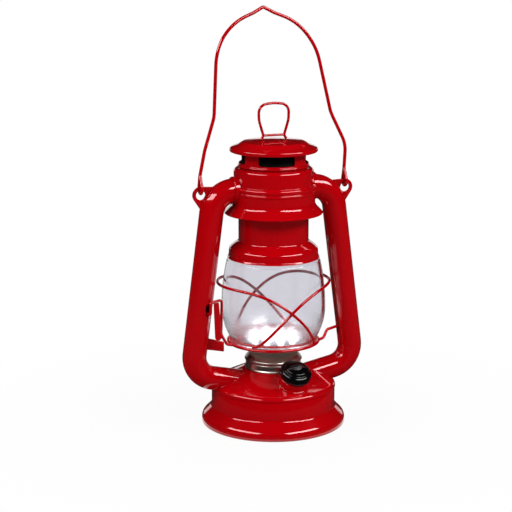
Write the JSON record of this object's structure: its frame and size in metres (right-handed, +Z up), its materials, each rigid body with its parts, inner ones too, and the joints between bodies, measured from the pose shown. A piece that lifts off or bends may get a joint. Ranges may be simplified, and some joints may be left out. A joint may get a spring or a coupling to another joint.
{
  "type": "battery hurricane lantern",
  "caption": "Red enamelled battery lantern on the hurricane pattern: clear globe over an LED pod, side tubes, vented chimney, wire guard, rotary dimmer and swinging wire bail.",
  "frame": {"origin": "on the floor, under the middle of the tank", "axes": "+Z up; the two side tubes lie along X; the dimmer is at the front, towards -Y"},
  "size_m": [0.1572, 0.12, 0.3438],
  "materials": {
    "red_enamel": "gloss enamel on pressed steel",
    "satin_steel": "satin, spun",
    "black_plastic": "fine moulded grain",
    "knob_black": "polished moulding",
    "clear_glass": "clear, pressed",
    "board_white": "white circuit board",
    "led_lens": "clear epoxy lens",
    "reflector_chrome": "silvered",
    "cell_jacket": null,
    "contact_nickel": "nickel plate",
    "flue_black": "matt black"
  },
  "bodies": {
    "lantern": {"tank_body": "red_enamel", "tank_top": "red_enamel", "floor_plate": "black_plastic", "battery_tray": "black_plastic", "front_cell": "cell_jacket", "rear_cell": "cell_jacket", "bridge_contact": "contact_nickel", "positive_contact": "contact_nickel", "negative_contact": "contact_nickel", "burner_collar": "satin_steel", "led_pod": "satin_steel", "led_board": "board_white", "reflector": "reflector_chrome", "leds": "led_lens", "dimmer_neck": "red_enamel", "dimmer_pot": "black_plastic", "dimmer_nut": "contact_nickel", "left_tube": "red_enamel", "right_tube": "red_enamel", "left_ear": "red_enamel", "right_ear": "red_enamel", "lever_bracket": "red_enamel", "hood": "red_enamel"},
    "globe_carrier": {"globe": "clear_glass", "globe_plate": "red_enamel", "guard_ring": "red_enamel", "left_guard_loop": "red_enamel", "right_guard_loop": "red_enamel", "guard_arm": "red_enamel", "lift_rod": "red_enamel", "lift_tongue": "red_enamel"},
    "chimney": {"bell": "red_enamel", "vent_collar": "red_enamel", "flue": "flue_black", "cap": "red_enamel", "lifter_loop": "red_enamel"},
    "bail": {"bail": "red_enamel"},
    "knob": {"dimmer_knob": "knob_black", "dimmer_shaft": "contact_nickel"},
    "cover": {"battery_cover": "black_plastic"}
  },
  "joints": [
    {"name": "globe_lift", "type": "slide", "parent": "lantern", "child": "globe_carrier", "axis": [0, 0, 1], "range_m": [0, 0.006]},
    {"name": "chimney_lift", "type": "slide", "parent": "globe_carrier", "child": "chimney", "axis": [0, 0, 1], "range_m": [0, 0.011]},
    {"name": "bail_swing", "type": "hinge", "parent": "lantern", "child": "bail", "pos_m": [0, 0, 0.20065], "axis": [1, 0, 0], "range_deg": [-132, 148]},
    {"name": "dimmer_turn", "type": "hinge", "parent": "lantern", "child": "knob", "pos_m": [0.00411, -0.03607, 0.04107], "axis": [0.0484, -0.4244, 0.9042], "range_deg": [-270, 0]},
    {"name": "cover_turn", "type": "hinge", "parent": "lantern", "child": "cover", "pos_m": [0, 0, 0.0018], "axis": [0, 0, 1], "range_deg": [0, 30]}
  ]
}
